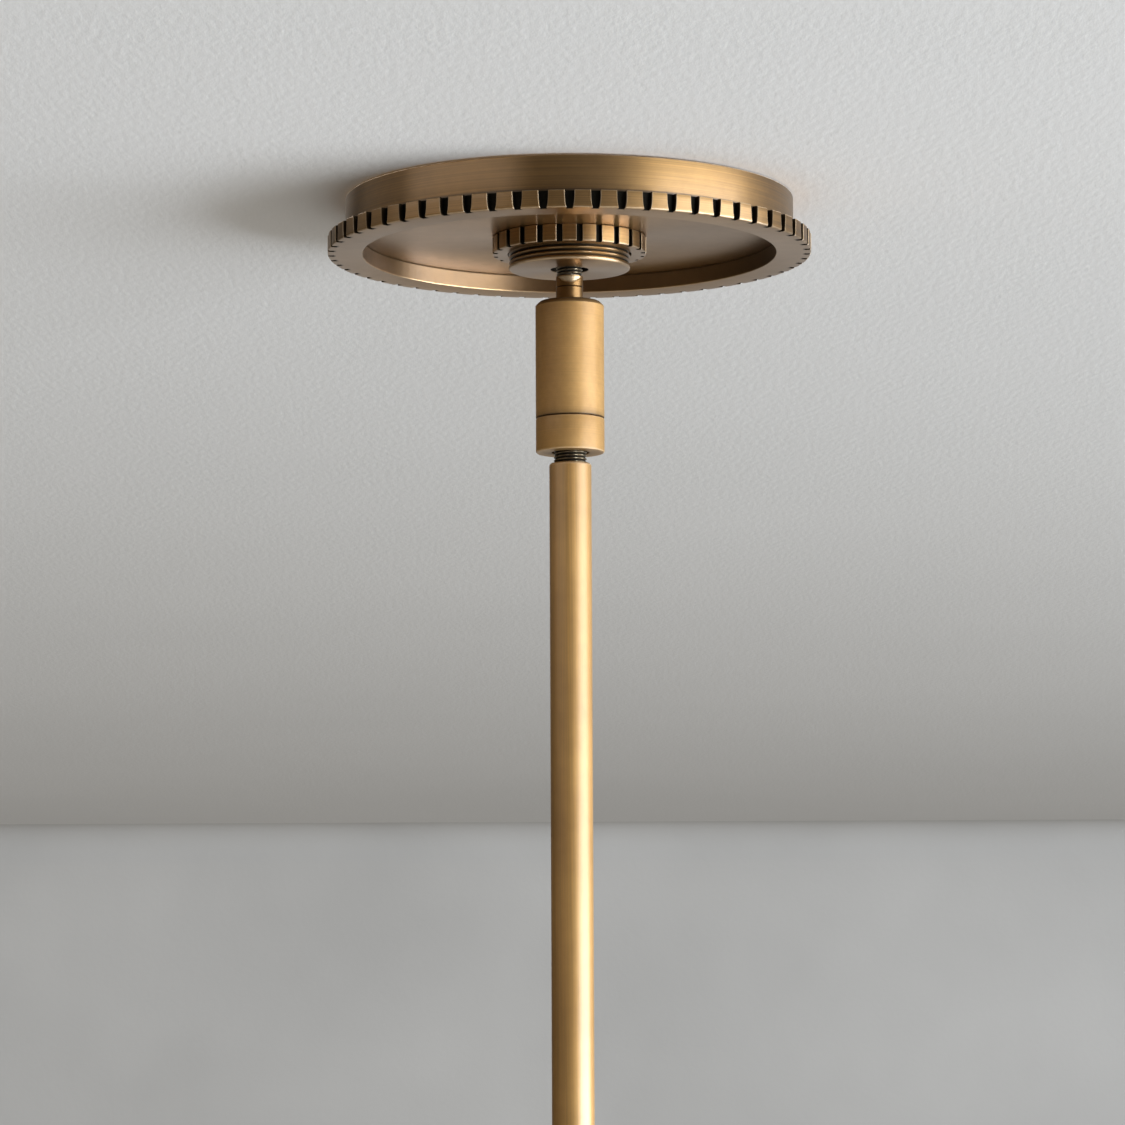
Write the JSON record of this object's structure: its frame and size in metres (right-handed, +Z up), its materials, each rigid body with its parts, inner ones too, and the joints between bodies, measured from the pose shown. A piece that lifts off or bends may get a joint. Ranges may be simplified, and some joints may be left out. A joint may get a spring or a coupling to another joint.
{
  "type": "globe pendant light",
  "caption": "Brass ceiling pendant: toothed canopy and ring nut, threaded hub, ball swivel, straight stem and a clear glass globe that unscrews by its toothed collar.",
  "frame": {"origin": "on the stem's axis in the plane of the ceiling, at the middle of the ceiling bar's upper face", "axes": "+Z up towards the ceiling, X along the ceiling bar, the picture's camera looks along +Y"},
  "size_m": [0.254, 0.254, 0.6815],
  "materials": {
    "canopy_brass": "satin, darkened, brushed round",
    "stem_brass": "satin, warm",
    "thread_steel": "blackened",
    "bar_steel": "zinc plated",
    "earth_green": "lacquered",
    "fibre": "matt",
    "liner_nylon": "matt",
    "holder_ceramic": "glazed",
    "lamp_metal": "rolled",
    "lamp_black": "vitreous",
    "lamp_clear": "clear",
    "filament_yellow": "phosphor coat",
    "seal_silicone": "matt",
    "bond": "cement",
    "globe_clear": "clear blown"
  },
  "bodies": {
    "ceiling_mount": {"crossbar": "bar_steel", "hub_screws": "bar_steel", "earth_screw": "earth_green", "hub": "canopy_brass"},
    "canopy": {"canopy_pan": "canopy_brass", "canopy_rim": "canopy_brass", "friction_washer": "fibre"},
    "collar": {"collar_ring": "canopy_brass"},
    "ball_stud": {"stud_nipple": "thread_steel", "stud_washer": "bar_steel", "stud_nut": "bar_steel", "stud_locknut": "bar_steel", "ball_stud": "stem_brass"},
    "ball_liner": {"ball_liner": "liner_nylon"},
    "pendant": {"swivel_body": "stem_brass", "swivel_ring": "stem_brass", "stem_nipple": "thread_steel", "stem": "stem_brass", "lower_nipple": "thread_steel", "stem_coupler": "stem_brass", "globe_cap": "canopy_brass", "cap_washer": "bar_steel", "cap_nut": "bar_steel", "socket_cap": "stem_brass", "socket_body": "holder_ceramic", "socket_shell": "stem_brass", "centre_contact": "stem_brass"},
    "lamp": {"lamp_contact": "lamp_metal", "lamp_insulator": "lamp_black", "lamp_cap": "lamp_metal", "lamp_glass": "lamp_clear", "lamp_mount": "lamp_clear", "lamp_filaments": "filament_yellow"},
    "globe_seal": {"globe_seal": "seal_silicone"},
    "globe": {"globe": "globe_clear", "globe_collar": "canopy_brass", "bond_ring": "bond"}
  },
  "joints": [
    {"name": "canopy_slide", "type": "slide", "parent": "ceiling_mount", "child": "canopy", "axis": [0, 0, 1], "range_m": [-0.009, 0]},
    {"name": "collar_turn", "type": "hinge", "parent": "canopy", "child": "collar", "pos_m": [0, 0, -0.0141], "axis": [0, 0, 1], "range_deg": [-2161, 1]},
    {"name": "stem_turn", "type": "hinge", "parent": "ceiling_mount", "child": "ball_stud", "pos_m": [0, 0, -0.01835], "axis": [0, 0, 1], "range_deg": [-170, 170]},
    {"name": "tilt_x", "type": "hinge", "parent": "ball_stud", "child": "ball_liner", "pos_m": [0, 0, -0.0379], "axis": [1, 0, 0], "range_deg": [-20, 20]},
    {"name": "tilt_y", "type": "hinge", "parent": "ball_liner", "child": "pendant", "pos_m": [0, 0, -0.0379], "axis": [0, 1, 0], "range_deg": [-20, 20]},
    {"name": "globe_slide", "type": "slide", "parent": "pendant", "child": "globe_seal", "axis": [0, 0, 1], "range_m": [-0.009, 0]},
    {"name": "globe_turn", "type": "hinge", "parent": "globe_seal", "child": "globe", "pos_m": [0, 0, -0.41], "axis": [0, 0, 1], "range_deg": [-1081, 1]},
    {"name": "lamp_draw", "type": "slide", "parent": "pendant", "child": "lamp", "axis": [0, 0, 1], "range_m": [-0.03, 0]}
  ],
  "couplings": [
    {"joint": "collar_turn", "follows": "canopy_slide", "rad_per_m": 4188.8},
    {"joint": "globe_turn", "follows": "globe_slide", "rad_per_m": 2094.4}
  ]
}
